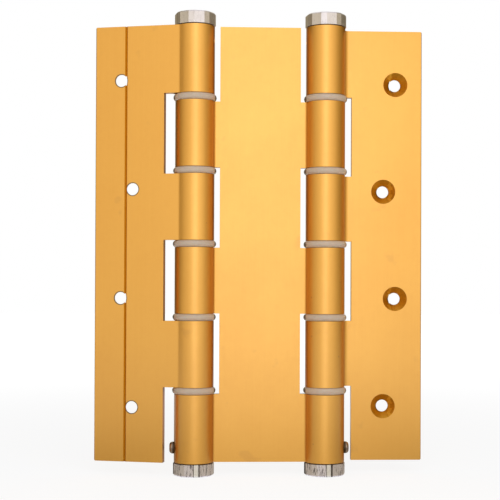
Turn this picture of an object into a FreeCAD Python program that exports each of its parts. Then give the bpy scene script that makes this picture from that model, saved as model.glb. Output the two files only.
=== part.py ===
import FreeCAD, Part

# A double action spring hinge for swing doors, in anodised aluminium.
#
# Two equal leaves are joined to a centre plate by two barrels. Each barrel is built of six
# knuckles: the first, third and fifth belong to the leaf, the others to the centre plate.
# Nylon washers part the knuckles, which turn on a tube inside the barrel. A torsion spring
# lies in the tube, held at the top by a fixed cap and at the bottom by a cap that turns to
# tension it and is locked by a small screw.
#
# The hinge stands as it is fixed to a door: Z runs up along the barrels, X runs from the
# left leaf to the right one, Y points to the back. The origin is the middle of the centre
# plate. Lengths are in millimetres, angles in degrees.

import os

import Sketcher
from FreeCAD import Rotation, Vector

KNUCKLES = 6
FULL_TURN = 360
OUTPUT_FOLDER = "parts"

SIZES = (
    ("leaf_height", "180", "height of both leaves and of the centre plate"),
    ("leaf_thickness", "3", "thickness of a leaf"),
    ("leaf_reach", "40.95", "from a barrel's axis to its leaf's outer edge"),
    ("leaf_offset", "3.6", "from a barrel's axis to the leaf's countersunk face"),
    ("leaf_notch", "11.45", "from a barrel's axis to the edge of the leaf's notches"),
    ("leaf_corner", "0.7", "radius of a leaf's two outer corners"),
    ("edge_break", "0.3", "chamfer along a leaf's outer edge"),
    ("plate_thickness", "3", "thickness of the centre plate"),
    ("plate_notch", "10.45", "from a barrel's axis to the edge of the plate's notches"),
    ("axis_spacing", "54.3", "between the two barrels' axes"),
    ("barrel_diameter", "16.3", "outside of the knuckles"),
    ("barrel_wall", "2.05", "wall of the knuckles"),
    ("leaf_fillet", "2", "fillet between a leaf and its barrel"),
    ("plate_fillet", "1", "fillet between the centre plate and its barrels"),
    ("end_allowance", "0.75", "what an end knuckle is longer than an inner one"),
    ("knuckle_gap", "3", "between two knuckles"),
    ("fold_angle", "14", "how far the left leaf is folded back at rest"),
    ("screw_hole", "5", "diameter of the wood screws' holes"),
    ("countersink", "10.2", "outer diameter of the countersinks"),
    ("countersink_angle", "90", "full angle of the countersinks"),
    ("hole_pitch", "45", "height from one screw hole to the next"),
    ("outer_hole_inset", "11.15", "from the leaf's edge to the outer screw holes"),
    ("inner_hole_inset", "16.15", "from the leaf's edge to the inner screw holes"),
    ("scribe_inset", "13.2", "from the leaf's edge to the scribed setting line"),
    ("scribe_width", "1.1", "width of the setting line"),
    ("scribe_depth", "0.75", "depth of the setting line"),
    ("running_clearance", "0.05", "radial clearance of what turns in a knuckle"),
    ("seat_clearance", "0.02", "radial clearance of what is fixed in a hole"),
    ("washer_overhang", "0.8", "how far a washer stands out of its barrel, on radius"),
    ("washer_play", "0.1", "what a washer is thinner than its gap"),
    ("tube_wall", "0.8", "wall of the pivot tube"),
    ("tube_end_gap", "0.3", "between the pivot tube and the plug at each end"),
    ("cap_flats", "8", "wide flats around a cap's head, with a narrow one between each two"),
    ("cap_flat_angle", "28.5", "angle that a wide flat takes up of the cap's turn"),
    ("cap_turn", "12", "turn of the caps' flats from the front"),
    ("cap_overhang", "0.35", "how far a cap's corners stand out of its barrel, on radius"),
    ("cap_height", "5.1", "height of a cap's head"),
    ("cap_shoulder", "0.35", "gap between a cap's head and its knuckle"),
    ("cap_neck_inset", "0.95", "from the barrel's surface to the shoulder under a cap's head"),
    ("cap_chamfer", "0.5", "chamfer around a cap's end"),
    ("plug_length", "13", "how far a cap's plug reaches into its knuckle"),
    ("slot_width", "2.2", "width of the spanner slots in the tension cap"),
    ("slot_depth", "1.2", "depth of the spanner slots"),
    ("slot_turn", "9", "turn of the spanner slots from the front"),
    ("slot_count", "4", "spanner slots around the tension cap"),
    ("spring_room", "0.25", "radial room of a spring in its pivot tube"),
    ("wire_diameter", "1.7", "spring wire"),
    ("coil_margin", "0.03", "what a coil's envelope is larger than its wire, on radius"),
    ("spring_clearance", "0.3", "between a spring's coil and the plug at each end"),
    ("tang_length", "4", "how far a spring's end reaches into its plug"),
    ("tang_clearance", "0.15", "radial clearance of a spring's end in its hole"),
    ("pin_diameter", "2", "pin through the top knuckle and its plug"),
    ("pin_inset", "5.8", "from the top knuckle's end to the pin"),
    ("pin_recess", "0.2", "how far the pin lies below the knuckle's surface"),
    ("pin_length", "6", "length of the pin"),
    ("lock_inset", "5.8", "from the bottom knuckle's end to the lock screw"),
    ("lock_diameter", "3", "shank of the lock screw"),
    ("lock_head", "4.9", "diameter of the lock screw's head"),
    ("lock_head_height", "2.2", "height of the lock screw's head"),
    ("lock_rim", "0.6", "straight rim of the lock screw's head"),
    ("lock_dome", "2.6", "flat top of the lock screw's domed head"),
    ("lock_socket", "2", "across the flats of the lock screw's socket"),
    ("lock_socket_flats", "6", "flats of the lock screw's socket"),
    ("lock_socket_depth", "1.2", "depth of the lock screw's socket"),
    ("lock_seat", "0.35", "depth of the flat seat under the lock screw's head"),
    ("lock_seat_margin", "0.15", "what the seat is larger than the head, on radius"),
    ("lock_groove", "3.6", "width of the groove that the lock screw enters"),
    ("lock_groove_depth", "1.2", "depth of that groove"),
    ("lock_tip_gap", "0.2", "between the lock screw's tip and the groove"),
    ("cut_margin", "5", "how far a cut runs past the metal"),
)

doc = FreeCAD.newDocument("double_action_hinge")
sheet = doc.addObject("Spreadsheet::Sheet", "Sizes")
for row, (alias, size, meaning) in enumerate(SIZES, start=1):
    sheet.set(f"A{row}", meaning)
    sheet.set(f"B{row}", size)
    sheet.setAlias(f"B{row}", alias)
doc.recompute()

# Expressions that several pieces share
TOP = "Sizes.leaf_height / 2"
BARREL = "Sizes.barrel_diameter / 2"
BORE = f"({BARREL} - Sizes.barrel_wall)"
TUBE = f"({BORE} - Sizes.running_clearance)"
SPRING = f"({TUBE} - Sizes.tube_wall - Sizes.spring_room)"
AXIS = "Sizes.axis_spacing / 2"
CAP = f"({BARREL} + Sizes.cap_overhang)"
ALL_GAPS = f"{KNUCKLES - 1} * Sizes.knuckle_gap"
KNUCKLE = f"(Sizes.leaf_height - {ALL_GAPS} - 2 * Sizes.end_allowance) / {KNUCKLES}"
PITCH = f"({KNUCKLE} + Sizes.knuckle_gap)"
LEAF_BACK = "(Sizes.leaf_offset + Sizes.leaf_thickness)"
COIL_RADIUS = f"({SPRING} - Sizes.wire_diameter / 2)"
PIN_HEIGHT = f"{TOP} - Sizes.pin_inset"
PIN_END = f"({BARREL} - Sizes.pin_recess - Sizes.pin_length)"
LOCK_HEIGHT = "Sizes.lock_inset - Sizes.leaf_height / 2"


def minus(expression):
    return f"-({expression})"


def value(expression):
    return float(sheet.evalExpression(expression.replace("Sizes.", "")))


# Sketches

def new_body(name):
    body = doc.addObject("PartDesign::Body", name)
    body.Label = name
    return body


def attach(item, body, role, lift=None):
    """Lays a sketch or a prism on one of the body's own origin planes, or above it."""
    planes = [feature for feature in body.Origin.OriginFeatures if feature.Role == role]
    item.AttachmentSupport = [(planes[0], "")]
    item.MapMode = "FlatFace"
    if lift:
        item.setExpression("AttachmentOffset.Base.z", lift)


def new_sketch(body, name, role, lift=None):
    sketch = body.newObject("Sketcher::SketchObject", f"{name}_sketch")
    attach(sketch, body, role, lift)
    return sketch


def bind(sketch, constraint, expression):
    index = sketch.addConstraint(constraint)
    word = f"size_{index}"
    sketch.renameConstraint(index, word)
    sketch.setExpression(f"Constraints.{word}", expression)


def hold_point(sketch, geometry, point, x, y):
    """Holds one point of a sketch at the expressions x and y, or on an axis where one is 0."""
    for kind, axis, expression in (("DistanceX", -2, x), ("DistanceY", -1, y)):
        if expression == "0":
            sketch.addConstraint(Sketcher.Constraint("PointOnObject", geometry, point, axis))
        else:
            length = value(expression)
            bind(sketch, Sketcher.Constraint(kind, -1, 1, geometry, point, length), expression)


def draw_outline(sketch, points):
    """A closed outline of straight lines through points that are pairs of expressions."""
    places = [Vector(value(x), value(y), 0) for x, y in points]
    first = sketch.GeometryCount
    for start, end in zip(places, places[1:] + places[:1]):
        sketch.addGeometry(Part.LineSegment(start, end), False)
    for index, (x, y) in enumerate(points):
        line = first + index
        before = first + (index - 1) % len(points)
        sketch.addConstraint(Sketcher.Constraint("Coincident", before, 2, line, 1))
        hold_point(sketch, line, 1, x, y)


def draw_box(sketch, left, right, bottom, top):
    draw_outline(sketch, ((left, bottom), (right, bottom), (right, top), (left, top)))


def draw_circle(sketch, x, y, diameter):
    centre = Vector(value(x), value(y), 0)
    circle = Part.Circle(centre, Vector(0, 0, 1), value(diameter) / 2)
    index = sketch.addGeometry(circle, False)
    hold_point(sketch, index, 3, x, y)
    bind(sketch, Sketcher.Constraint("Diameter", index, value(diameter)), diameter)


# Features

def extrude(body, kind, sketch, name, length=None, both_ways=False, turned=False):
    """A pad or a pocket. With no length it runs through everything."""
    feature = body.newObject(f"PartDesign::{kind}", name)
    feature.Profile = sketch
    feature.SideType = "Symmetric" if both_ways else "One side"
    feature.Reversed = turned
    if length:
        feature.setExpression("Length", length)
    else:
        feature.Type = "ThroughAll"
    doc.recompute()
    return feature


def revolve(body, name, points):
    """A turned solid around Z. The points are pairs of expressions for radius and height."""
    sketch = new_sketch(body, name, "XZ_Plane")
    draw_outline(sketch, points)
    feature = body.newObject("PartDesign::Revolution", name)
    feature.Profile = sketch
    feature.ReferenceAxis = (sketch, ["V_Axis"])
    feature.Angle = FULL_TURN
    doc.recompute()
    return feature


def straight_edges(shape, along, wanted):
    """Names of the straight edges along a direction whose middle passes the test."""
    names = []
    for index, edge in enumerate(shape.Edges, start=1):
        if edge.Curve.TypeId != "Part::GeomLine":
            continue
        direction = edge.tangentAt(edge.FirstParameter)
        if direction.cross(along).Length > 0.001:
            continue
        if wanted(edge.CenterOfMass):
            names.append(f"Edge{index}")
    return names


def round_edges(body, name, edges, radius):
    base = body.Tip
    feature = body.newObject("PartDesign::Fillet", name)
    feature.Base = (base, edges)
    feature.setExpression("Radius", radius)
    doc.recompute()
    return feature


def near(first, second):
    return abs(first - second) < 0.01


# Leaves and centre plate

def notch_rows(open_side):
    """Bottom and top of the three notches that clear the other plate's knuckles.

    Two notches are closed windows around one knuckle and its two gaps, the third runs out
    at the plate's end. open_side is 1 where the top is open and -1 where the bottom is.
    """
    half_window = f"({KNUCKLE} / 2 + Sizes.knuckle_gap)"
    middles = (f"{open_side} * {PITCH} / 2", f"{-open_side} * {PITCH} * 1.5")
    rows = [(f"{middle} - {half_window}", f"{middle} + {half_window}") for middle in middles]
    inner_end = f"{open_side} * (2 * {PITCH} - Sizes.knuckle_gap / 2)"
    outer_end = f"{open_side} * ({TOP} + Sizes.cut_margin)"
    rows.append((inner_end, outer_end) if open_side > 0 else (outer_end, inner_end))
    return rows


def cut_notches(body, spans, open_side):
    sketch = new_sketch(body, "notches", "XZ_Plane")
    for left, right in spans:
        for bottom, top in notch_rows(open_side):
            draw_box(sketch, left, right, bottom, top)
    extrude(body, "Pocket", sketch, "notches", both_ways=True)


def round_corners(body):
    """Rounds the leaf's two outer corners."""
    def is_corner(middle):
        outermost = near(middle.x, value("Sizes.leaf_reach"))
        return outermost and near(abs(middle.z), value(TOP))

    edges = straight_edges(body.Tip.Shape, Vector(0, 1, 0), is_corner)
    round_edges(body, "corners", edges, "Sizes.leaf_corner")


def drill_screw_holes(body):
    """Four countersunk holes, staggered in two columns."""
    sketch = new_sketch(body, "screw_holes", "XZ_Plane", minus("Sizes.leaf_offset"))
    for row, inset in enumerate(("outer", "inner", "outer", "inner")):
        x = f"Sizes.leaf_reach - Sizes.{inset}_hole_inset"
        draw_circle(sketch, x, f"Sizes.hole_pitch * {1.5 - row}", "Sizes.screw_hole")
    doc.recompute()
    hole = body.newObject("PartDesign::Hole", "screw_holes")
    hole.Profile = sketch
    hole.DepthType = "ThroughAll"
    hole.Threaded = False
    hole.ThreadType = "None"
    hole.setExpression("Diameter", "Sizes.screw_hole")
    hole.HoleCutType = "Countersink"
    hole.HoleCutCustomValues = True
    hole.setExpression("HoleCutDiameter", "Sizes.countersink")
    hole.setExpression("HoleCutCountersinkAngle", "Sizes.countersink_angle")
    doc.recompute()


def make_leaf(name, side, turn):
    """A leaf, drawn with its barrel's axis at the origin and its plate towards +X.

    It is cut from an extruded profile of plate, barrel and scribed line. The mounting face
    is the one further from the axis, and it carries the line.
    """
    body = new_body(name)
    reach = "Sizes.leaf_reach"
    front = "Sizes.leaf_offset"

    plate = new_sketch(body, "plate", "XY_Plane")
    chamfered = (
        ("0", front),
        (f"{reach} - Sizes.edge_break", front),
        (reach, f"{front} + Sizes.edge_break"),
        (reach, f"{LEAF_BACK} - Sizes.edge_break"),
        (f"{reach} - Sizes.edge_break", LEAF_BACK),
        ("0", LEAF_BACK),
    )
    draw_outline(plate, chamfered)
    extrude(body, "Pad", plate, "plate", "Sizes.leaf_height", both_ways=True)
    round_corners(body)

    barrel = new_sketch(body, "barrel", "XY_Plane")
    draw_circle(barrel, "0", "0", "Sizes.barrel_diameter")
    extrude(body, "Pad", barrel, "barrel", "Sizes.leaf_height", both_ways=True)

    def is_root(middle):
        on_barrel = near(Vector(middle.x, middle.y, 0).Length, value(BARREL))
        return on_barrel and (near(middle.y, value(front)) or near(middle.y, value(LEAF_BACK)))

    roots = straight_edges(body.Tip.Shape, Vector(0, 0, 1), is_root)
    round_edges(body, "root_fillets", roots, "Sizes.leaf_fillet")

    bore = new_sketch(body, "bore", "XY_Plane")
    draw_circle(bore, "0", "0", f"2 * {BORE}")
    extrude(body, "Pocket", bore, "bore", both_ways=True)

    scribe = new_sketch(body, "scribe", "XY_Plane")
    line = f"{reach} - Sizes.scribe_inset"
    vee = (
        (f"{line} - Sizes.scribe_width / 2", LEAF_BACK),
        (line, f"{LEAF_BACK} - Sizes.scribe_depth"),
        (f"{line} + Sizes.scribe_width / 2", LEAF_BACK),
    )
    draw_outline(scribe, vee)
    extrude(body, "Pocket", scribe, "scribe", both_ways=True)

    past_barrel = minus(f"{BARREL} + Sizes.cut_margin")
    cut_notches(body, ((past_barrel, "Sizes.leaf_notch"),), -1)
    drill_screw_holes(body)

    pin_hole = new_sketch(body, "pin_hole", "YZ_Plane")
    draw_circle(pin_hole, "0", PIN_HEIGHT, "Sizes.pin_diameter")
    extrude(body, "Pocket", pin_hole, "pin_hole")
    place(body, side, turn=turn)
    return body


def make_centre_plate():
    """The plate between the barrels, with three knuckles on each side."""
    body = new_body("centre_plate")
    half = "Sizes.plate_thickness / 2"

    plate = new_sketch(body, "plate", "XY_Plane")
    draw_box(plate, minus(AXIS), AXIS, minus(half), half)
    extrude(body, "Pad", plate, "plate", "Sizes.leaf_height", both_ways=True)

    barrels = new_sketch(body, "barrels", "XY_Plane")
    for x in (minus(AXIS), AXIS):
        draw_circle(barrels, x, "0", "Sizes.barrel_diameter")
    extrude(body, "Pad", barrels, "barrels", "Sizes.leaf_height", both_ways=True)

    def is_root(middle):
        return near(abs(middle.y), value(half)) and abs(middle.x) < value(AXIS)

    roots = straight_edges(body.Tip.Shape, Vector(0, 0, 1), is_root)
    round_edges(body, "root_fillets", roots, "Sizes.plate_fillet")

    bores = new_sketch(body, "bores", "XY_Plane")
    for x in (minus(AXIS), AXIS):
        draw_circle(bores, x, "0", f"2 * {BORE}")
    extrude(body, "Pocket", bores, "bores", both_ways=True)

    past_barrel = f"{AXIS} + {BARREL} + Sizes.cut_margin"
    edge = f"{AXIS} - Sizes.plate_notch"
    cut_notches(body, ((minus(past_barrel), minus(edge)), (edge, past_barrel)), 1)

    seat = f"{AXIS} + {BARREL} - Sizes.lock_seat"
    seat_diameter = "Sizes.lock_head + 2 * Sizes.lock_seat_margin"
    lock_hole = "Sizes.lock_diameter + 2 * Sizes.seat_clearance"
    for side, word in ((-1, "left"), (1, "right")):
        cuts = (("lock_seat", seat, seat_diameter), ("lock_hole", AXIS, lock_hole))
        for cut, depth, diameter in cuts:
            name = f"{cut}_{word}"
            sketch = new_sketch(body, name, "YZ_Plane", f"{side} * ({depth})")
            draw_circle(sketch, "0", LOCK_HEIGHT, diameter)
            extrude(body, "Pocket", sketch, name, turned=side > 0)
    return body


# What turns or is fixed inside the barrels

def make_washer(name, side, level):
    """A nylon washer between two knuckles, loose on the pivot tube."""
    body = new_body(name)
    ring = new_sketch(body, "ring", "XY_Plane")
    draw_circle(ring, "0", "0", f"2 * ({BARREL} + Sizes.washer_overhang)")
    draw_circle(ring, "0", "0", f"2 * {BORE}")
    thickness = "Sizes.knuckle_gap - Sizes.washer_play"
    extrude(body, "Pad", ring, "ring", thickness, both_ways=True)
    place(body, side, height=f"{KNUCKLES // 2 - level} * {PITCH}")
    return body


def make_pivot_tube(name, side):
    """The tube that all six knuckles turn on, from one plug to the other."""
    body = new_body(name)
    wall = new_sketch(body, "wall", "XY_Plane")
    draw_circle(wall, "0", "0", f"2 * {TUBE}")
    draw_circle(wall, "0", "0", f"2 * ({TUBE} - Sizes.tube_wall)")
    length = "Sizes.leaf_height - 2 * Sizes.plug_length - 2 * Sizes.tube_end_gap"
    extrude(body, "Pad", wall, "wall", length, both_ways=True)
    place(body, side)
    return body


def make_cap_head(body, turn):
    """The faceted head, above the shoulder that keeps it off the knuckle.

    A prism with the wide flats loses its corners, which makes the narrow ones.
    """
    half_step = "180 / Sizes.cap_flats"
    half_flat = "Sizes.cap_flat_angle / 2"
    head = body.newObject("PartDesign::AdditivePrism", "head")
    attach(head, body, "XY_Plane", "Sizes.cap_shoulder")
    head.setExpression("Polygon", "Sizes.cap_flats")
    head.setExpression("Circumradius", f"{CAP} * cos({half_flat}) / cos({half_step})")
    head.setExpression("Height", "Sizes.cap_height")
    head_turn = f"{half_step} + Sizes.cap_turn - ({turn})"
    head.setExpression("AttachmentOffset.Rotation.Angle", head_turn)
    doc.recompute()
    top = value("Sizes.cap_shoulder + Sizes.cap_height")
    middle = value("Sizes.cap_shoulder + Sizes.cap_height / 2")
    corners_off = f"{CAP} * (cos({half_flat}) * tan({half_step}) - sin({half_flat}))"
    chamfer_at(body, "head_corners", middle, corners_off)
    chamfer_at(body, "head_chamfer", top, "Sizes.cap_chamfer")


def chamfer_at(body, name, height, size):
    """Bevels the edges outside the barrel's bore whose middles lie at that height."""
    base = body.Tip
    edges = []
    for index, edge in enumerate(base.Shape.Edges, start=1):
        middle = edge.CenterOfMass
        if near(middle.z, height) and Vector(middle.x, middle.y, 0).Length > value(BORE):
            edges.append(f"Edge{index}")
    chamfer = body.newObject("PartDesign::Chamfer", name)
    chamfer.Base = (base, edges)
    chamfer.setExpression("Size", size)
    doc.recompute()


def cap_profile(clearance, groove):
    """Radius and height of a cap's plug and shoulder, from the plug's end up."""
    plug = f"{BORE} - {clearance}"
    neck = f"{BARREL} - Sizes.cap_neck_inset"
    points = [("0", minus("Sizes.plug_length")), (plug, minus("Sizes.plug_length"))]
    if groove:
        floor = f"{plug} - Sizes.lock_groove_depth"
        low = "-Sizes.lock_inset - Sizes.lock_groove / 2"
        high = "Sizes.lock_groove / 2 - Sizes.lock_inset"
        points += [(plug, low), (floor, low), (floor, high), (plug, high)]
    points += [(plug, "0"), (neck, "0"), (neck, "Sizes.cap_shoulder")]
    points.append(("0", "Sizes.cap_shoulder"))
    return points


def drill_tang_hole(body):
    """The hole in the plug's end that takes the spring's end."""
    sketch = new_sketch(body, "tang_hole", "XY_Plane", minus("Sizes.plug_length"))
    draw_circle(sketch, COIL_RADIUS, "0", "Sizes.wire_diameter + 2 * Sizes.tang_clearance")
    depth = "Sizes.tang_length"
    extrude(body, "Pocket", sketch, "tang_hole", depth, turned=True)


def make_top_cap(name, side, turn):
    """The fixed cap. A pin through the top knuckle holds its plug."""
    body = new_body(name)
    revolve(body, "plug", cap_profile("Sizes.seat_clearance", False))
    make_cap_head(body, turn)
    drill_tang_hole(body)
    pin_hole = new_sketch(body, "pin_hole", "YZ_Plane", minus(PIN_END))
    draw_circle(pin_hole, "0", minus("Sizes.pin_inset"), "Sizes.pin_diameter")
    extrude(body, "Pocket", pin_hole, "pin_hole")
    place(body, side, height=TOP, turn=turn)
    return body


def make_tension_cap(name, side):
    """The cap that winds the spring. It has spanner slots and a locking groove."""
    body = new_body(name)
    revolve(body, "plug", cap_profile("Sizes.running_clearance", True))
    make_cap_head(body, "0")
    drill_tang_hole(body)

    slot = new_sketch(body, "spanner_slot", "XY_Plane", "Sizes.cap_shoulder")
    slot.setExpression("AttachmentOffset.Rotation.Angle", "90 - Sizes.slot_turn")
    floor = f"{CAP} - Sizes.slot_depth"
    half = "Sizes.slot_width / 2"
    draw_box(slot, floor, f"{CAP} + Sizes.cut_margin", minus(half), half)
    cut = extrude(body, "Pocket", slot, "spanner_slot", "Sizes.cap_height", turned=True)
    pattern = body.newObject("PartDesign::PolarPattern", "spanner_slots")
    pattern.Originals = [cut]
    pattern.Axis = (slot, ["N_Axis"])
    pattern.Angle = FULL_TURN
    pattern.setExpression("Occurrences", "Sizes.slot_count")
    body.Tip = pattern
    doc.recompute()
    place(body, side, height=minus(TOP), upside_down=True)
    return body


def make_spring(name, side, turn):
    """A close-wound torsion spring as its true envelope, with a straight end up and down.

    The upper end is turned with the leaf, because it lies in the plug of the leaf's cap.
    """
    body = new_body(name)
    room = "Sizes.leaf_height - 2 * Sizes.plug_length"
    coil = new_sketch(body, "coil", "XY_Plane")
    inside = f"2 * ({SPRING} - Sizes.wire_diameter)"
    draw_circle(coil, "0", "0", f"2 * ({SPRING} + Sizes.coil_margin)")
    draw_circle(coil, "0", "0", f"{inside} - 2 * Sizes.coil_margin")
    length = f"{room} - 2 * Sizes.spring_clearance"
    extrude(body, "Pad", coil, "coil", length, both_ways=True)
    reach = "Sizes.tang_length - Sizes.spring_clearance"
    for word, direction in (("upper", 1), ("lower", -1)):
        root = f"{direction} * ({length}) / 2"
        sketch = new_sketch(body, f"{word}_end", "XY_Plane", root)
        if direction > 0:
            sketch.setExpression("AttachmentOffset.Rotation.Angle", turn)
        draw_circle(sketch, COIL_RADIUS, "0", "Sizes.wire_diameter")
        extrude(body, "Pad", sketch, f"{word}_end", reach, turned=direction < 0)
    place(body, side)
    return body


def make_lock_screw(name, side):
    """A domed socket screw. Its head seats on the knuckle, its tip enters the groove."""
    body = new_body(name)
    shank = "Sizes.lock_diameter / 2"
    head = "Sizes.lock_head / 2"
    seat = f"{BARREL} - Sizes.lock_seat"
    groove = f"{BORE} - Sizes.running_clearance - Sizes.lock_groove_depth"
    tip = f"({groove}) + Sizes.lock_tip_gap - ({seat})"
    points = (
        ("0", tip),
        (shank, tip),
        (shank, "0"),
        (head, "0"),
        (head, "Sizes.lock_rim"),
        ("Sizes.lock_dome / 2", "Sizes.lock_head_height"),
        ("0", "Sizes.lock_head_height"),
    )
    revolve(body, "screw", points)

    socket = body.newObject("PartDesign::SubtractivePrism", "socket")
    attach(socket, body, "XY_Plane", "Sizes.lock_head_height - Sizes.lock_socket_depth")
    socket.setExpression("Polygon", "Sizes.lock_socket_flats")
    half_turn = "180 / Sizes.lock_socket_flats"
    socket.setExpression("Circumradius", f"Sizes.lock_socket / 2 / cos({half_turn})")
    socket.setExpression("Height", "Sizes.lock_socket_depth")
    doc.recompute()
    body.Placement.Rotation = Rotation(Vector(0, 1, 0), 90 * side)
    body.setExpression("Placement.Base.x", f"{side} * ({AXIS} + {seat})")
    body.setExpression("Placement.Base.z", LOCK_HEIGHT)
    return body


def make_cap_pin(name, side, turn):
    """The pin that holds the top cap, on the barrel's side away from the leaf."""
    body = new_body(name)
    sketch = new_sketch(body, "pin", "YZ_Plane", minus(PIN_END))
    draw_circle(sketch, "0", PIN_HEIGHT, "Sizes.pin_diameter - 2 * Sizes.seat_clearance")
    extrude(body, "Pad", sketch, "pin", "Sizes.pin_length", turned=True)
    place(body, side, turn=turn)
    return body


def place(body, side, height=None, turn=None, upside_down=False):
    """Moves a piece to the left or right barrel's axis, to a height, and turns it about Z."""
    if upside_down:
        body.Placement.Rotation = Rotation(Vector(1, 0, 0), 180)
    body.setExpression("Placement.Base.x", f"{side} * {AXIS}")
    if height:
        body.setExpression("Placement.Base.z", height)
    if turn:
        body.Placement.Rotation = Rotation(Vector(0, 0, 1), 1)
        body.setExpression("Placement.Rotation.Angle", turn)


# The whole hinge

bodies = [make_centre_plate()]
for word, side, turn in (("left", -1, "180 - Sizes.fold_angle"), ("right", 1, "0")):
    leaf_turn = turn if side < 0 else None
    bodies.append(make_leaf(f"{word}_leaf", side, leaf_turn))
    for level in range(1, KNUCKLES):
        bodies.append(make_washer(f"washer_{word}_{level}", side, level))
    bodies.append(make_pivot_tube(f"pivot_tube_{word}", side))
    bodies.append(make_top_cap(f"top_cap_{word}", side, turn))
    bodies.append(make_cap_pin(f"cap_pin_{word}", side, leaf_turn))
    bodies.append(make_tension_cap(f"tension_cap_{word}", side))
    bodies.append(make_lock_screw(f"lock_screw_{word}", side))
    bodies.append(make_spring(f"spring_{word}", side, turn))
doc.recompute()

failed = [item.Name for item in doc.Objects if {"Invalid", "Error"} & set(item.State)]
if failed:
    raise RuntimeError(f"features that did not build: {failed}")
for body in bodies:
    if body.Shape.isNull() or not body.Shape.isValid() or len(body.Shape.Solids) != 1:
        raise RuntimeError(f"{body.Label} is not one sound solid")

os.makedirs(OUTPUT_FOLDER, exist_ok=True)
for body in bodies:
    body.Shape.exportStep(os.path.join(OUTPUT_FOLDER, f"{body.Label}.step"))
    print(f"{body.Label}: {body.Shape.Volume:.1f} cubic mm, {len(body.Shape.Faces)} faces")
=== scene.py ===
import math

import bmesh
import bpy
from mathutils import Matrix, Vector


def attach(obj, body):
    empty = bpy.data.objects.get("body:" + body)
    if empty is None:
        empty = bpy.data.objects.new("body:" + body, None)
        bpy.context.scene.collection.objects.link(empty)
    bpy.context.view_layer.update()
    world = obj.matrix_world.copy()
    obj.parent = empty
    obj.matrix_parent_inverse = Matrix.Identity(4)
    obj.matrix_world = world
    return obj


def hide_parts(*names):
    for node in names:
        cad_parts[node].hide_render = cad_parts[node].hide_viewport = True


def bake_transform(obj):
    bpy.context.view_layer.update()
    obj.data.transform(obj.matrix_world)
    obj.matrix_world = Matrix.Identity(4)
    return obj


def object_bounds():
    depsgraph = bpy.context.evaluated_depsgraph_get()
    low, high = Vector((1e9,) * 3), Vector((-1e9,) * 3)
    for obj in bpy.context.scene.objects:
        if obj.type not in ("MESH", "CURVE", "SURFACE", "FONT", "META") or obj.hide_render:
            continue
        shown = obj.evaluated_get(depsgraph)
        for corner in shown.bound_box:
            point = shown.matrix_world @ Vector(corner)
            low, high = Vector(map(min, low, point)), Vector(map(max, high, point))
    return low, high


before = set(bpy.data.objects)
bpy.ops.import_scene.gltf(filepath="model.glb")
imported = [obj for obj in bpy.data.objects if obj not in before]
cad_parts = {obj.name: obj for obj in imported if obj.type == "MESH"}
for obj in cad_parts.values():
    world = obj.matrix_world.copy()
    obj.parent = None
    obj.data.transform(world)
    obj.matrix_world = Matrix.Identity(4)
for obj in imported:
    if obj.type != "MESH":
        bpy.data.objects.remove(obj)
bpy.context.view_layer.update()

MM = 0.001
SIDES = (("left", -1), ("right", 1))

# Sizes of the hinge that the scene's own pieces need, in metres
AXIS = 27.15 * MM
BARREL = 8.15 * MM
FOLD = 14.0
LEAF_TURNS = {-1: math.radians(180 - FOLD), 1: 0.0}
LEAF_REACH = 40.95 * MM
SCRIBE = LEAF_REACH - 13.2 * MM
SCRIBE_WIDTH = 0.6 * MM
HOLE_COLUMNS = (LEAF_REACH - 11.15 * MM, LEAF_REACH - 16.15 * MM)
HOLE_PITCH = 45.0 * MM
HOLE_PLACES = [(HOLE_COLUMNS[row % 2], (1.5 - row) * HOLE_PITCH) for row in range(4)]
HOLE = 2.5 * MM
HOLE_EDGE = HOLE + 0.3 * MM
# Inner and outer radii of the painted dark shade ring round the screw holes
HOLE_RIM_SHADE = (HOLE + 0.22 * MM, HOLE + 0.50 * MM)
COUNTERSINK = 5.1 * MM
PLATE_END = 90.0 * MM
PLATE_EDGE = 0.22 * MM
CAP_EDGE = 0.14 * MM
NECK_END = PLATE_END + 0.33 * MM
NECK_RADIUS = 6.5 * MM
SLOT_FLOOR = 7.3 * MM
SLOT_FLOOR_BAND = (SLOT_FLOOR - 0.1 * MM, SLOT_FLOOR + 0.3 * MM)
SLOT_RIM = (SLOT_FLOOR - 0.5 * MM, SLOT_FLOOR - 0.2 * MM)
SLOT_WALL = 1.1 * MM
SLOT_TURN = math.radians(9)
# Painted shade along the slots' walls: full within the first distance, gone at the second
SLOT_SHADE_BAND = (0.16 * MM, 0.34 * MM)
WASHER_OUTSIDE = 17.9 * MM
WASHER_BORE = 12.2 * MM
WASHER_THICKNESS = 2.9 * MM
WASHER_PITCH = 30.25 * MM
WASHER_COUNT = 5
WASHER_ROUNDING = 1.42 * MM
# Sideways distances from a barrel's axis over which the washers' ends get painted shade
NYLON_END_SHADE = (8.0 * MM, 8.6 * MM)
SCREW_HEIGHT = -84.2 * MM
SCREW_RIM = 2.45 * MM
SCREW_FLAT = 1.25 * MM
SCREW_TOP = 1.85 * MM
SCREW_WALL = 0.55 * MM
SCREW_SEAT = 0.34 * MM
SCREW_SHANK = 1.5 * MM
SCREW_DEPTH = 2.4 * MM
SCREW_SOCKET = 1.05 * MM
SCREW_SOCKET_EDGE = 0.08 * MM
SCREW_SOCKET_DEPTH = 1.2 * MM
SCREW_CROWN_STEPS = 6
SCREW_STEPS = 36
COIL_DIAMETER = 8.3 * MM
COIL_LENGTH = 153.4 * MM
WIRE_DIAMETER = 1.68 * MM
COIL_TURNS = 90
COIL_END = 3.7 * MM

# Least angles, in degrees, of the edges that are rounded and of those that stay sharp
CORNER = 28
CAP_CORNER = 15
SHARP_EDGE = 32
SHARP_SCREW_EDGE = 35

# Joined before the rounding: points this close, and faces within this angle in degrees
WELD = 0.002 * MM
SAME_PLANE = 0.4

# The cosines of a face's tilt below which it isn't flat, level or round any more
FLAT = 0.985
CONE = 0.8
GROOVE = 0.75
LEVEL = 0.5
ROUND = 0.93

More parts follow.
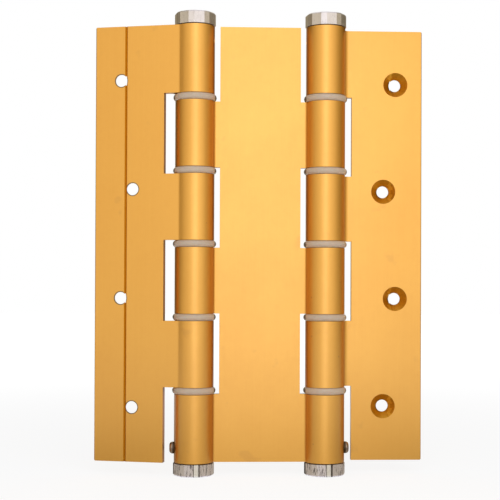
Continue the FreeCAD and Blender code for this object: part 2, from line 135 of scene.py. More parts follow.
# The photograph's view: a nearly level camera in front of the hinge, a little below its middle
CAMERA_PLACE = (-22.0 * MM, -498.3 * MM, -18.0 * MM)
CAMERA_TURN = (90.604, -0.225, -2.443)
FOCAL_PIXELS = 1201.4
FRAME_PIXELS = 500
OPTICAL_AXIS = (257.97, 275.0)
SENSOR_WIDTH = 36.0
CLIP_START = 0.01

WHITE = (1.0, 1.0, 1.0, 1.0)


# Node trees

class Wire:
    """A node's output. Sums, products and powers of wires add Math nodes to their tree."""

    def __init__(self, tree, socket):
        self.tree = tree
        self.socket = socket

    def maths(self, operation, *values):
        kind = "ShaderNodeMath"
        return self.tree.add(kind, {"operation": operation}, dict(enumerate(values)))

    def __add__(self, other):
        return self.maths("ADD", self, other)

    def __sub__(self, other):
        return self.maths("SUBTRACT", self, other)

    def __rsub__(self, other):
        return self.maths("SUBTRACT", other, self)

    def __mul__(self, other):
        return self.maths("MULTIPLY", self, other)

    def __truediv__(self, other):
        return self.maths("DIVIDE", self, other)

    def __pow__(self, other):
        return self.maths("POWER", self, other)

    def __abs__(self):
        return self.maths("ABSOLUTE", self)

    def __lt__(self, other):
        return self.maths("LESS_THAN", self, other)

    __radd__ = __add__
    __rmul__ = __mul__

    def between(self, low, high):
        """0 below low, 1 above high, and a smooth rise from one to the other."""
        settings = {"interpolation_type": "SMOOTHSTEP"}
        values = {"Value": self, "From Min": low, "From Max": high}
        return self.tree.add("ShaderNodeMapRange", settings, values)


class Tree:
    """A shader's or a shape's node tree."""

    def __init__(self, tree):
        self.nodes = tree.nodes
        self.links = tree.links
        self.nodes.clear()

    def add(self, kind, settings=None, values=None, output=0):
        """A node with its settings made first, then its sockets set or linked."""
        node = self.nodes.new(kind)
        for name, setting in (settings or {}).items():
            if name == "stops":
                self.set_stops(node.color_ramp, setting)
            else:
                setattr(node, name, setting)
        for key, value in (values or {}).items():
            if isinstance(value, Wire):
                self.links.new(value.socket, node.inputs[key])
            else:
                node.inputs[key].default_value = value
        return Wire(self, node.outputs[output] if node.outputs else None)

    @staticmethod
    def set_stops(ramp, stops):
        while len(ramp.elements) < len(stops):
            ramp.elements.new(1.0)
        for element, (position, colour) in zip(ramp.elements, stops):
            element.position = position
            element.color = (*colour, 1.0)


# Finishes

class Finish:
    """A material whose patterns lie on the object's own coordinates, in metres."""

    def __init__(self, name, colour, metallic, roughness, **uniform):
        self.material = bpy.data.materials.new(name)
        self.material.use_nodes = True
        self.material.diffuse_color = (*colour, 1.0)
        self.tree = Tree(self.material.node_tree)
        self.place = self.tree.add("ShaderNodeTexCoord", output="Object")
        fixed = {"Base Color": (*colour, 1.0), "Metallic": metallic, "Roughness": roughness}
        fixed.update(uniform)
        shader = self.tree.add("ShaderNodeBsdfPrincipled", None, fixed)
        self.shader = shader.socket.node
        self.tree.add("ShaderNodeOutputMaterial", None, {"Surface": shader})

    def feed(self, **varying):
        for name, wire in varying.items():
            socket = self.shader.inputs[name.replace("_", " ")]
            self.tree.links.new(wire.socket, socket)

    def along(self, axis):
        """The place along X, Y or Z, in metres."""
        return self.tree.add("ShaderNodeSeparateXYZ", None, {"Vector": self.place}, axis)

    def stretched(self, scale):
        values = {"Vector": self.place, "Scale": scale}
        return self.tree.add("ShaderNodeMapping", None, values)

    def grain(self, per_metre, detail=3.0, stretch=(1.0, 1.0, 1.0), roughness=0.5):
        """Noise from 0 to 1, finer with a larger number of grains per metre."""
        values = {
            "Vector": self.stretched(stretch),
            "Scale": per_metre,
            "Detail": detail,
            "Roughness": roughness,
        }
        return self.tree.add("ShaderNodeTexNoise", None, values)

    def specks(self, per_metre, size):
        """1 inside scattered small spots, 0 elsewhere. Size is a share of the spacing."""
        values = {"Vector": self.place, "Scale": per_metre}
        distance = self.tree.add("ShaderNodeTexVoronoi", None, values)
        pick = self.tree.add("ShaderNodeTexVoronoi", None, values, "Color")
        chosen = pick < 0.25
        return (1 - distance.between(size * 0.5, size)) * chosen

    def blend(self, mask, first, second):
        """The first colour where the mask is 0 and the second where it is 1."""
        settings = {"data_type": "RGBA", "clamp_factor": True}
        colours = {}
        for key, colour in ((6, first), (7, second)):
            colours[key] = colour if isinstance(colour, Wire) else (*colour, 1.0)
        return self.tree.add("ShaderNodeMix", settings, {0: mask, **colours}, 2)

    def bump(self, height, depth, strength=1.0):
        values = {"Height": height, "Distance": depth, "Strength": strength}
        return self.tree.add("ShaderNodeBump", None, values)


def hole_rim_painted_shade(finish, side):
    """1 on a painted dark shade ring round each of a leaf's screw holes, 0 elsewhere."""
    turn = LEAF_TURNS[side]
    x, y, z = (finish.along(axis) for axis in range(3))
    out = (x - side * AXIS) * math.cos(turn) + y * math.sin(turn)
    nearest = 1.0
    for place, height in HOLE_PLACES:
        aside, above = out - place, z - height
        away = (aside * aside + above * above) ** 0.5
        nearest = away.maths("MINIMUM", away, nearest)
    return 1 - nearest.between(*HOLE_RIM_SHADE)


def gold_anodised(name, side=0):
    """Extruded aluminium with a satin gold anodised skin and faint lines along the bars.

    The side is that of the leaf whose holes get a painted dark shade ring, or 0 for a piece
    without holes.
    """
    finish = Finish(
        name,
        (0.90, 0.45, 0.062),
        1.0,
        0.46,
        **{
            "Specular Tint": (0.08, 0.015, 0.0, 1.0),
            "Coat Weight": 1.0,
            "Coat IOR": 1.73,
            "Coat Roughness": 0.3,
        },
    )
    lines = finish.grain(1600, 2.0, (1.0, 1.0, 0.012))
    hair = finish.grain(6500, 2.0, (1.0, 1.0, 0.02))
    cloud = finish.grain(28, 3.0)
    mottle = finish.grain(420, 4.0, roughness=0.7)
    depth = (lines - 0.5) * 0.35 + (cloud - 0.5) * 0.9 + (mottle - 0.5) * 0.45 + 0.45
    tone = finish.blend(depth, (0.93, 0.485, 0.072), (0.87, 0.422, 0.048))
    dust = finish.specks(160, 0.085)
    stain = finish.grain(95, 3.0).between(0.66, 0.74) * 0.22
    skin = finish.blend(stain + dust * 0.5, tone, (0.62, 0.27, 0.045))
    if side:
        # Painted shade: a near-black ring round each screw hole
        skin = finish.blend(hole_rim_painted_shade(finish, side) * 0.9, skin, (0.12, 0.06, 0.02))
    finish.feed(
        Base_Color=skin,
        Roughness=(hair - 0.5) * 0.16 + (cloud - 0.5) * 0.10 + (mottle - 0.5) * 0.10 + 0.40,
        Normal=finish.bump(lines * 0.6 + hair * 0.25 + mottle * 0.3, 0.02 * MM, 0.55),
    )
    return finish.material


def cut_gold_shaded(name, light, dark):
    """Where the anodised metal was countersunk or scored, with the tool's marks, in tones darker
    than the leaves' that are painted shade for these hollows.
    """
    finish = Finish(
        name,
        light,
        1.0,
        0.4,
        **{"Specular Tint": (0.08, 0.015, 0.0, 1.0), "Coat Weight": 0.3, "Coat Roughness": 0.3},
    )
    marks = finish.grain(1500, 3.0)
    finish.feed(
        Base_Color=finish.blend(marks, light, dark),
        Roughness=marks * 0.2 + 0.30,
        Normal=finish.bump(marks, 0.02 * MM, 0.5),
    )
    return finish.material


def nylon():
    """Greige nylon, a little translucent, with moulding haze and painted shade, nearly black, at
    the washers' ends to the left and right of the axis.
    """
    finish = Finish(
        "translucent nylon",
        (0.62, 0.44, 0.30),
        0.0,
        0.38,
        **{
            "Subsurface Weight": 0.35,
            "Subsurface Radius": (1.0, 0.62, 0.4),
            "Subsurface Scale": 0.8 * MM,
            "IOR": 1.53,
        },
    )
    haze = finish.grain(900, 3.0)
    patch = finish.grain(180, 2.0)
    tone = finish.blend(haze * 0.6 + patch * 0.4, (0.80, 0.66, 0.53), (0.62, 0.47, 0.34))
    # Painted shade: near black where the washers' ends lie to the left and right of the axis
    end_shade = abs(abs(finish.along(0)) - AXIS).between(*NYLON_END_SHADE)
    finish.feed(
        Base_Color=finish.blend(end_shade * 0.9, tone, (0.06, 0.04, 0.03)),
        Roughness=haze * 0.18 + 0.30,
        Normal=finish.bump(haze, 0.03 * MM, 0.5),
    )
    return finish.material


def slot_corner_shade(finish):
    """1 along the corners of a tension cap's four spanner slots, where shade is painted, 0
    elsewhere.
    """
    x, y = finish.along(0), finish.along(1)
    right_side = x.between(-MM, MM)
    x = x - right_side * 2 * AXIS + AXIS
    one = x * math.cos(SLOT_TURN) + y * math.sin(SLOT_TURN)
    other = x * math.sin(SLOT_TURN) - y * math.cos(SLOT_TURN)
    lines = [1 - abs(abs(way) - SLOT_WALL).between(*SLOT_SHADE_BAND) for way in (one, other)]
    rim = ((x * x + y * y) ** 0.5).between(*SLOT_RIM)
    return lines[0].maths("MAXIMUM", *lines) * rim


def cap_metal(name, light, dark, wear, slotted=False):
    """Bare metal of the caps, with upright tool marks, dull patches and small pits, and on
    slotted caps painted shade along the slots' corners.
    """
    finish = Finish(name, light, 0.92, 0.42)
    pits = finish.grain(2600, 4.0, roughness=0.65)
    patch = finish.grain(420, 3.0)
    scrapes = finish.grain(1500, 3.0, (1.0, 1.0, 0.16), 0.6)
    mask = pits.between(0.52, 0.72) * 0.5 * wear + (patch - 0.42) * 0.5
    mask += (scrapes.between(0.5, 0.68) - 0.25) * 0.75 * (wear - 0.5)
    metal = finish.blend(mask, light, dark)
    if slotted:
        # Painted shade along the slots' corners
        metal = finish.blend(slot_corner_shade(finish) * 0.9, metal, (0.05, 0.035, 0.03))
    finish.feed(
        Base_Color=metal,
        Roughness=patch * 0.2 + pits * 0.15 + 0.24,
        Normal=finish.bump(pits * 0.5 + scrapes * 0.5, 0.06 * MM * wear, 0.6),
    )
    return finish.material


def plain_steel(name, colour, roughness):
    """Turned or drawn steel with fine marks and a few darker patches."""
    finish = Finish(name, colour, 1.0, roughness)
    marks = finish.grain(3800, 3.0)
    patch = finish.grain(350, 3.0)
    darker = tuple(channel * 0.55 for channel in colour)
    finish.feed(
        Base_Color=finish.blend(patch.between(0.45, 0.75) * 0.6, colour, darker),
        Roughness=(marks - 0.5) * 0.2 + roughness,
        Normal=finish.bump(marks, 0.015 * MM, 0.4),
    )
    return finish.material


GOLD = gold_anodised("gold anodised aluminium")
LEAF_GOLD = {side: gold_anodised(f"gold anodised {word} leaf", side) for word, side in SIDES}
# Painted shade: darker gold in the countersinks and in the scribed groove
DRILLED_GOLD_SHADED = cut_gold_shaded("drilled gold aluminium, painted shade", (0.72, 0.345, 0.022), (0.48, 0.215, 0.012))
SCORED_GOLD_SHADED = cut_gold_shaded("scored gold aluminium, painted shade", (0.86, 0.49, 0.055), (0.70, 0.38, 0.04))
NYLON = nylon()
CAP_METAL = cap_metal("dull cap metal", (0.76, 0.72, 0.76), (0.33, 0.29, 0.305), 0.8)
WORN_CAP_METAL = cap_metal(
    "scraped cap metal", (0.78, 0.73, 0.79), (0.09, 0.075, 0.085), 2.0, slotted=True
)
# Painted highlight: pale metal on the floors of the spanner slots
SLOT_FLOOR_HIGHLIGHT = cap_metal("slot floor metal, painted highlight", (0.95, 0.93, 0.93), (0.60, 0.56, 0.56), 0.8)
# Painted shade: near-black steel on the caps' necks in the gaps by the knuckles, on the slot
# walls and under the lock screws' heads
SHADE_STEEL = plain_steel("near-black steel for painted shade", (0.09, 0.06, 0.04), 0.5)
SCREW_STEEL = plain_steel("plated screw steel", (0.40, 0.31, 0.28), 0.22)
PIN_STEEL = plain_steel("pin steel", (0.62, 0.58, 0.54), 0.32)
TUBE_STEEL = plain_steel("drawn tube steel", (0.58, 0.58, 0.57), 0.35)
SPRING_STEEL = plain_steel("oiled spring wire", (0.20, 0.20, 0.21), 0.28)


# Shapes made by rule

class ShapeRule:
    """A geometry node tree with named inputs for the sizes of what it makes."""

    def __init__(self, name):
        self.group = bpy.data.node_groups.new(name, "GeometryNodeTree")
        self.tree = Tree(self.group)
        self.identifiers = {}
        self.start = self.tree.nodes.new("NodeGroupInput")
        shape = {"name": "Geometry", "in_out": "OUTPUT", "socket_type": "NodeSocketGeometry"}
        self.group.interface.new_socket(**shape)

    def size(self, name, kind="Float"):
        """A named input, as a wire."""
        details = {"name": name, "in_out": "INPUT", "socket_type": f"NodeSocket{kind}"}
        entry = self.group.interface.new_socket(**details)
        self.identifiers[name] = entry.identifier
        return Wire(self.tree, self.start.outputs[name])

    def point(self, x=0.0, y=0.0, z=0.0):
        return self.tree.add("ShaderNodeCombineXYZ", None, {"X": x, "Y": y, "Z": z})

    def end(self, shape, material):
        """Smooth shading, realized instances and the material close the tree."""
        smooth = self.tree.add("GeometryNodeSetShadeSmooth", None, {"Geometry": shape})
        real = self.tree.add("GeometryNodeRealizeInstances", None, {"Geometry": smooth})
        values = {"Geometry": real, "Material": material}
        dressed = self.tree.add("GeometryNodeSetMaterial", None, values)
        self.tree.add("NodeGroupOutput", None, {"Geometry": dressed})

    def make(self, name, **sizes):
        """A plain mesh object in the shape that these sizes give."""
        holder = bpy.data.objects.new(name, bpy.data.meshes.new(name))
        bpy.context.scene.collection.objects.link(holder)
        modifier = holder.modifiers.new("rule", "NODES")
        modifier.node_group = self.group
        for word, size in sizes.items():
            modifier[self.identifiers[word.replace("_", " ")]] = size
        bpy.context.view_layer.update()
        seen = holder.evaluated_get(bpy.context.evaluated_depsgraph_get())
        mesh = bpy.data.meshes.new_from_object(seen)
        holder.modifiers.remove(modifier)
        holder.data = mesh
        mesh.name = name
        return holder


def washer_rule():
    """A column of equal washers with a fully rounded section."""
    rule = ShapeRule("washer column")
    tree = rule.tree
    x = rule.size("Axis")
    outside = rule.size("Outside")
    bore = rule.size("Bore")
    thickness = rule.size("Thickness")
    rounding = rule.size("Rounding")
    pitch = rule.size("Pitch")
    count = rule.size("Count", "Int")
    material = rule.size("Material", "Material")

    circle = {"Radius": (outside + bore) / 4, "Resolution": 96}
    path = tree.add("GeometryNodeCurvePrimitiveCircle", {"mode": "RADIUS"}, circle)
    section = {"Width": (outside - bore) / 2, "Height": thickness}
    flat = tree.add("GeometryNodeCurvePrimitiveQuadrilateral", {"mode": "RECTANGLE"}, section)
    corners = {"Curve": flat, "Radius": rounding, "Count": 8}
    round_section = tree.add("GeometryNodeFilletCurve", {"mode": "POLY"}, corners)
    sweep = {"Curve": path, "Profile Curve": round_section}
    ring = tree.add("GeometryNodeCurveToMesh", None, sweep)
    line = {
        "Count": count,
        "Start Location": rule.point(x, 0.0, (count - 1) * pitch / 2),
        "Offset": rule.point(0.0, 0.0, pitch * -1),
    }
    places = tree.add("GeometryNodeMeshLine", {"mode": "OFFSET"}, line)
    column = tree.add("GeometryNodeInstanceOnPoints", None, {"Points": places, "Instance": ring})
    rule.end(column, material)
    return rule


def spring_rule():
    """A close-wound coil of round wire with a straight end up and one down.

    The coil starts along X and ends at the turn, an angle in radians.
    """
    rule = ShapeRule("torsion spring")
    tree = rule.tree
    x = rule.size("Axis")
    diameter = rule.size("Diameter")
    wire = rule.size("Wire")
    length = rule.size("Length")
    turns = rule.size("Turns")
    turn = rule.size("Turn")
    reach = rule.size("Reach")
    material = rule.size("Material", "Material")

    radius = diameter / 2
    height = length - wire
    winding = {
        "Resolution": 20,
        "Rotations": turns + turn / (2 * math.pi),
        "Start Radius": radius,
        "End Radius": radius,
        "Height": height,
    }
    coil = tree.add("GeometryNodeCurveSpiral", None, winding)
    lowered = {"Geometry": coil, "Offset": rule.point(x, 0.0, height * -0.5)}
    parts = [tree.add("GeometryNodeSetPosition", None, lowered)]
    turned = (x + radius * turn.maths("COSINE", turn), radius * turn.maths("SINE", turn))
    for direction, place in ((1, turned), (-1, (x + radius, 0.0))):
        inner = rule.point(*place, height * 0.5 * direction)
        outer = rule.point(*place, (length * 0.5 + reach) * direction)
        ends = {"Start": inner, "End": outer}
        parts.append(tree.add("GeometryNodeCurvePrimitiveLine", None, ends))
    joined = tree.nodes.new("GeometryNodeJoinGeometry")
    for part in parts:
        tree.links.new(part.socket, joined.inputs[0])
    round_wire = {"Radius": wire / 2, "Resolution": 10}
    section = tree.add("GeometryNodeCurvePrimitiveCircle", {"mode": "RADIUS"}, round_wire)
    sweep = {"Curve": Wire(tree, joined.outputs[0]), "Profile Curve": section, "Fill Caps": True}
    rule.end(tree.add("GeometryNodeCurveToMesh", None, sweep), material)
    return rule


# Pieces

def dress(node, material):
    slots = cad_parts[node].data.materials
    slots.clear()
    slots.append(material)


def edge_softened(node, width, material, body, others=(), corner=CORNER):
    """Put a copy of a solid, with its sharp edges rounded by a small width, in its place.

    Others are pairs of a material and a test: the faces for which test(middle, normal) is
    true get that material. Corner is the least angle of an edge that is rounded.
    """
    name = f"{node}_body"
    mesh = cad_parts[node].data.copy()
    mesh.name = name
    shape = bmesh.new()
    shape.from_mesh(mesh)
    bmesh.ops.remove_doubles(shape, verts=shape.verts, dist=WELD)
    bmesh.ops.dissolve_limit(
        shape, angle_limit=math.radians(SAME_PLANE), verts=shape.verts, edges=shape.edges
    )
    shape.to_mesh(mesh)
    shape.free()
    mesh.materials.clear()
    mesh.materials.append(material)
    piece = bpy.data.objects.new(name, mesh)
    bpy.context.scene.collection.objects.link(piece)
    bevel = piece.modifiers.new("edge", "BEVEL")
    bevel.width = width
    bevel.segments = 2
    bevel.limit_method = "ANGLE"
    bevel.angle_limit = math.radians(corner)
    bevel.use_clamp_overlap = True
    bevel.harden_normals = False
    bpy.context.view_layer.update()
    seen = piece.evaluated_get(bpy.context.evaluated_depsgraph_get())
    finished = bpy.data.meshes.new_from_object(seen)
    piece.modifiers.clear()
    piece.data = finished
    for index, (other, belongs) in enumerate(others, start=1):
        finished.materials.append(other)
        for face in finished.polygons:
            if belongs(face.center, face.normal):
                face.material_index = index
    finished.shade_smooth()
    finished.set_sharp_from_angle(angle=math.radians(SHARP_EDGE))
    weights = piece.modifiers.new("flat faces first", "WEIGHTED_NORMAL")
    weights.keep_sharp = True
    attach(piece, body)
    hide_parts(node)


def leaf_tests(side):
    """Tests for the faces of a leaf's screw holes and countersinks, and of its scribed line."""
    turn = LEAF_TURNS[side]
    along = Vector((math.cos(turn), math.sin(turn), 0.0))
    across = Vector((-math.sin(turn), math.cos(turn), 0.0))
    axis = Vector((side * AXIS, 0.0, 0.0))

    def is_drilled(middle, normal):
        tilt = abs(normal.dot(across))
        out = (middle - axis).dot(along)
        away = min(math.hypot(out - x, middle.z - z) for x, z in HOLE_PLACES)
        return away < COUNTERSINK and tilt < CONE or away < HOLE_EDGE and tilt < FLAT

    def is_scored(middle, normal):
        out = (middle - axis).dot(along)
        return abs(out - SCRIBE) < SCRIBE_WIDTH and abs(normal.dot(across)) < GROOVE

    return is_drilled, is_scored


def cap_tests(side):
    """Tests for a cap's neck and slot walls, which get painted shade, and for the slots' floors,
    which get a painted highlight.
    """
    axis = Vector((side * AXIS, 0.0, 0.0))

    def spoke_of(middle):
        return Vector((middle.x - axis.x, middle.y, 0.0))

    def is_shaded(middle, normal):
        spoke = spoke_of(middle)
        if abs(middle.z) < NECK_END:
            return spoke.length > NECK_RADIUS
        if abs(normal.z) > LEVEL or spoke.length < SLOT_FLOOR_BAND[0]:
            return False
        return abs(normal.dot(spoke.normalized())) < ROUND

    def is_floor(middle, normal):
        if abs(middle.z) < NECK_END or abs(normal.z) > LEVEL or is_shaded(middle, normal):
            return False
        low, high = SLOT_FLOOR_BAND
        return low < spoke_of(middle).length < high

    return is_shaded, is_floor


edge_softened("centre_plate", PLATE_EDGE, GOLD, "centre_plate")
for word, side in SIDES:
    leaf, top_cap, low_cap = f"{word}_leaf", f"top_cap_{word}", f"tension_cap_{word}"
    is_shaded, is_floor = cap_tests(side)
    cut = tuple(zip((DRILLED_GOLD_SHADED, SCORED_GOLD_SHADED), leaf_tests(side)))
    # Faces of the caps that get painted shade and a painted highlight
    painted_cap_faces = ((SHADE_STEEL, is_shaded), (SLOT_FLOOR_HIGHLIGHT, is_floor))
    edge_softened(leaf, PLATE_EDGE, LEAF_GOLD[side], leaf, cut)
    caps = ((top_cap, CAP_METAL, leaf, painted_cap_faces[:1]), (low_cap, WORN_CAP_METAL, low_cap, painted_cap_faces))
    for cap, metal, body, others in caps:
        edge_softened(cap, CAP_EDGE, metal, body, others, CAP_CORNER)
    dress(f"pivot_tube_{word}", TUBE_STEEL)
    dress(f"cap_pin_{word}", PIN_STEEL)


def lock_screw(word, side):
    """A pan head with a rounded rim and a round socket, turned about the X axis."""
    profile = [(SCREW_SHANK, -SCREW_DEPTH), (SCREW_SHANK, -SCREW_SEAT), (SCREW_RIM, -SCREW_SEAT)]
    for step in range(SCREW_CROWN_STEPS + 1):
        rise = math.radians(step * 90 / SCREW_CROWN_STEPS)
        radius = SCREW_FLAT + (SCREW_RIM - SCREW_FLAT) * math.cos(rise)
        height = SCREW_WALL + (SCREW_TOP - SCREW_WALL) * math.sin(rise)
        profile.append((radius, height))
    profile += [
        (SCREW_SOCKET + SCREW_SOCKET_EDGE, SCREW_TOP),
        (SCREW_SOCKET, SCREW_TOP - SCREW_SOCKET_EDGE),
        (SCREW_SOCKET, SCREW_TOP - SCREW_SOCKET_DEPTH),
    ]
    shape = bmesh.new()
    rings = []
    turns = [math.tau * step / SCREW_STEPS for step in range(SCREW_STEPS)]
    for radius, height in profile:
        x = side * (AXIS + BARREL + height)
        places = [(x, radius * math.cos(t), SCREW_HEIGHT + radius * math.sin(t)) for t in turns]
        rings.append([shape.verts.new(place) for place in places])
    for lower, upper in zip(rings, rings[1:]):
        for step in range(SCREW_STEPS):
            other = (step + 1) % SCREW_STEPS
            shape.faces.new((lower[step], lower[other], upper[other], upper[step]))
    shape.faces.new(rings[0])
    shape.faces.new(rings[-1])
    bmesh.ops.recalc_face_normals(shape, faces=shape.faces)
    mesh = bpy.data.meshes.new(f"lock_screw_{word}_body")
    shape.to_mesh(mesh)
    shape.free()
    mesh.materials.append(SCREW_STEEL)
    mesh.materials.append(SHADE_STEEL)
    # Painted shade: the shank, the underside and the upright side of the head
    for face in mesh.polygons:
        if side * face.center.x < AXIS + BARREL + SCREW_WALL:
            face.material_index = 1
    mesh.shade_smooth()
    mesh.set_sharp_from_angle(angle=math.radians(SHARP_SCREW_EDGE))
    piece = bpy.data.objects.new(mesh.name, mesh)
    bpy.context.scene.collection.objects.link(piece)
    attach(piece, "centre_plate")
    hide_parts(f"lock_screw_{word}")


for word, side in SIDES:
    lock_screw(word, side)

washers = washer_rule()
springs = spring_rule()
for word, side in SIDES:
    column = washers.make(
        f"washers_{word}",
        Axis=side * AXIS,
        Outside=WASHER_OUTSIDE,
        Bore=WASHER_BORE,
        Thickness=WASHER_THICKNESS,
        Rounding=WASHER_ROUNDING,
        Pitch=WASHER_PITCH,
        Count=WASHER_COUNT,
        Material=NYLON,
    )
    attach(column, "centre_plate")
    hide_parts(*(f"washer_{word}_{level}" for level in range(1, WASHER_COUNT + 1)))

    coil = springs.make(
        f"spring_coil_{word}",
        Axis=side * AXIS,
        Diameter=COIL_DIAMETER,
        Wire=WIRE_DIAMETER,
        Length=COIL_LENGTH,
        Turns=float(COIL_TURNS),
        Turn=LEAF_TURNS[side],
        Reach=COIL_END,
        Material=SPRING_STEEL,
    )
    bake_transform(coil)
    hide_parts(f"spring_{word}")


# Studio

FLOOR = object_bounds()[0][2] - 0.02 * MM
FLOOR_REACH = 3.0
FLOOR_CORNERS = ((-1, -1), (1, -1), (1, 1), (-1, 1))
FLOOR_GREY = (0.92, 0.92, 0.92)
FLOOR_OWN_LIGHT = 0.75
GLOW_FADE = (0.12, 0.8)
GLOW_RISE = 0.16
GLOW_LEVEL = 1.12
SKY_LIGHT = 0.4
SKY_SEEN = 1.0

# Brightness of the reflector by direction, in degrees to the right of the view's own side
REFLECTOR_LEVELS = (
    (-180, 0.75),
    (-157, 0.60),
    (-140, 0.13),
    (-100, 0.16),
    (-80, 0.54),
    (-50, 0.84),
    (-25, 0.98),
    (-9, 1.44),
    (6, 1.80),
    (18, 1.08),
    (33, 1.08),
    (50, 0.87),
    (70, 0.52),
    (95, 0.31),
    (125, 0.06),
    (142, 0.07),
    (157, 0.60),
    (180, 0.75),
)
REFLECTOR_FADE = (-0.16, 0.08)
REFLECTOR_FOOT = 0.76
REFLECTOR_RADIUS = 0.46
REFLECTOR_SPAN = (FLOOR, 0.9)
REFLECTOR_STEPS = 96

# Brightness of the apron by distance, as a share of its radius, and to the sides
APRON_LEVELS = ((0.0, 0.30), (0.55, 0.45), (1.0, 0.9))
APRON_RADIUS = 0.26
APRON_HEIGHT = FLOOR + 0.5 * MM
APRON_STEPS = 64
APRON_ASIDE = (0.02, 0.075)
APRON_STRENGTH = 1.36
APRON_FALL = 0.48


def stage_material(name, colour, own_light):
    """A matt surface that shows its own light, as a share, to the view and to reflections."""
    material = bpy.data.materials.new(name)
    material.use_nodes = True
    tree = Tree(material.node_tree)
    matt = tree.add("ShaderNodeBsdfDiffuse", None, {"Color": (*colour, 1.0)})
    place = tree.add("ShaderNodeTexCoord", output="Object")
    far = tree.add("ShaderNodeVectorMath", {"operation": "LENGTH"}, {0: place}, "Value")
    strength = far.between(*GLOW_FADE) * GLOW_RISE + GLOW_LEVEL
    glow = tree.add("ShaderNodeEmission", None, {"Color": WHITE, "Strength": strength})
    seen = view_rays(tree)
    mixed = tree.add("ShaderNodeMixShader", None, {0: seen * own_light, 1: matt, 2: glow})
    tree.add("ShaderNodeOutputMaterial", None, {"Surface": mixed})
    return material


def view_rays(tree):
    """1 for rays from the camera, from reflections and through clear things, else 0."""
    path = tree.add("ShaderNodeLightPath").socket.node
    kinds = ("Camera", "Glossy", "Transmission")
    view, gloss, clear = (Wire(tree, path.outputs[f"Is {kind} Ray"]) for kind in kinds)
    return view.maths("MAXIMUM", view, gloss.maths("MAXIMUM", gloss, clear))


def sheet_of(name, corners, faces, material):
    mesh = bpy.data.meshes.new(name)
    mesh.from_pydata(corners, [], faces)
    mesh.materials.append(material)
    sheet = bpy.data.objects.new(name, mesh)
    bpy.context.scene.collection.objects.link(sheet)
    return sheet


def floor():
    pale = stage_material("pale floor", FLOOR_GREY, FLOOR_OWN_LIGHT)
    corners = [(x * FLOOR_REACH, y * FLOOR_REACH, FLOOR) for x, y in FLOOR_CORNERS]
    sheet = sheet_of("floor", corners, [(0, 1, 2, 3)], pale)


def ring_of(radius, height, steps):
    """The corners of a level ring around the object."""
    turns = [math.tau * step / steps for step in range(steps)]
    return [(math.sin(t) * radius, math.cos(t) * radius, height) for t in turns]


def reflector_wall():
    """A ring of light around the object that only reflections see.

    It is bright in front, a little to the right, and dim and warm at the sides, as a softbox
    between dark screens would be. The background shows through the open top.
    """
    material = bpy.data.materials.new("graded reflector")
    material.use_nodes = True
    tree = Tree(material.node_tree)
    place = tree.add("ShaderNodeTexCoord", output="Object")
    split = tree.add("ShaderNodeSeparateXYZ", None, {"Vector": place}).socket.node
    x = Wire(tree, split.outputs["X"])
    y = Wire(tree, split.outputs["Y"])
    turn = x.maths("ARCTAN2", x, y * -1) / math.tau + 0.5
    stops = [(0.5 + degrees / 360, warm(level)) for degrees, level in REFLECTOR_LEVELS]
    ramp = tree.add("ShaderNodeValToRGB", {"stops": stops}, {"Fac": turn})
    height = Wire(tree, split.outputs["Z"]).between(*REFLECTOR_FADE)
    strength = height * (1.0 - REFLECTOR_FOOT) + REFLECTOR_FOOT
    light = tree.add("ShaderNodeEmission", None, {"Color": ramp, "Strength": strength})
    tree.add("ShaderNodeOutputMaterial", None, {"Surface": light})
    steps = REFLECTOR_STEPS
    corners = [place for z in REFLECTOR_SPAN for place in ring_of(REFLECTOR_RADIUS, z, steps)]
    faces = [(i, (i + 1) % steps, steps + (i + 1) % steps, steps + i) for i in range(steps)]
    screen("reflector_wall", corners, faces, material)


def reflector_apron():
    """A shade on the floor, seen only in reflections, that fades out away from the object."""
    material = bpy.data.materials.new("graded apron")
    material.use_nodes = True
    tree = Tree(material.node_tree)
    place = tree.add("ShaderNodeTexCoord", output="Object")
    distance = tree.add("ShaderNodeVectorMath", {"operation": "LENGTH"}, {0: place}, "Value")
    stops = [(share, warm(level, 0.5)) for share, level in APRON_LEVELS]
    ramp = tree.add("ShaderNodeValToRGB", {"stops": stops}, {"Fac": distance / APRON_RADIUS})
    split = tree.add("ShaderNodeSeparateXYZ", None, {"Vector": place})
    strength = abs(split).between(*APRON_ASIDE) * -APRON_FALL + APRON_STRENGTH
    light = tree.add("ShaderNodeEmission", None, {"Color": ramp, "Strength": strength})
    tree.add("ShaderNodeOutputMaterial", None, {"Surface": light})
    corners = ring_of(APRON_RADIUS, APRON_HEIGHT, APRON_STEPS)
    screen("reflector_apron", corners, [tuple(range(APRON_STEPS))], material)


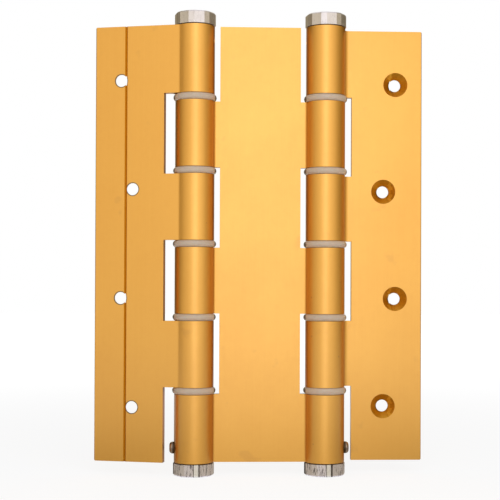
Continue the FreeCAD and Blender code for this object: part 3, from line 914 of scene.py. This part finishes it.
def warm(level, most=1.0):
    """A grey of that brightness, warmer the dimmer it is."""
    share = most * max(0.0, 1.0 - level / 1.5)
    return level, level * (1.0 - 0.25 * share), level * (1.0 - 0.82 * share)


def screen(name, corners, faces, material):
    """A sheet that only reflections see."""
    sheet = sheet_of(name, corners, faces, material)
    sheet.visible_camera = False
    sheet.visible_diffuse = False
    sheet.visible_shadow = False
    sheet.visible_transmission = False


floor()
reflector_wall()
reflector_apron()

world = bpy.data.worlds.new("studio")
world.use_nodes = True
bpy.context.scene.world = world
sky = Tree(world.node_tree)
shine = view_rays(sky) * (SKY_SEEN - SKY_LIGHT) + SKY_LIGHT
background = sky.add("ShaderNodeBackground", None, {"Color": WHITE, "Strength": shine})
sky.add("ShaderNodeOutputWorld", None, {"Surface": background})


def softbox(name, place, target, width, height, radiance):
    """A rectangular lamp of even brightness, facing a point."""
    lamp = bpy.data.lights.new(name, "AREA")
    lamp.shape = "RECTANGLE"
    lamp.size = width
    lamp.size_y = height
    lamp.energy = radiance * math.pi * width * height
    holder = bpy.data.objects.new(name, lamp)
    bpy.context.scene.collection.objects.link(holder)
    holder.location = place
    facing = Vector(target) - Vector(place)
    holder.rotation_euler = facing.to_track_quat("-Z", "Y").to_euler()
    holder.visible_glossy = False


softbox(
    "key",
    place=(0.04, -0.46, 0.16),
    target=(0.0, 0.0, 0.0),
    width=0.42,
    height=0.4,
    radiance=1.5,
)

camera_data = bpy.data.cameras.new("camera")
camera_data.sensor_width = SENSOR_WIDTH
camera_data.lens = FOCAL_PIXELS / FRAME_PIXELS * SENSOR_WIDTH
camera_data.shift_x = (FRAME_PIXELS / 2 - OPTICAL_AXIS[0]) / FRAME_PIXELS
camera_data.shift_y = (OPTICAL_AXIS[1] - FRAME_PIXELS / 2) / FRAME_PIXELS
camera_data.clip_start = CLIP_START
camera = bpy.data.objects.new("camera", camera_data)
bpy.context.scene.collection.objects.link(camera)
camera.location = CAMERA_PLACE
camera.rotation_euler = [math.radians(angle) for angle in CAMERA_TURN]
bpy.context.scene.camera = camera
bpy.context.scene.view_settings.view_transform = "Standard"
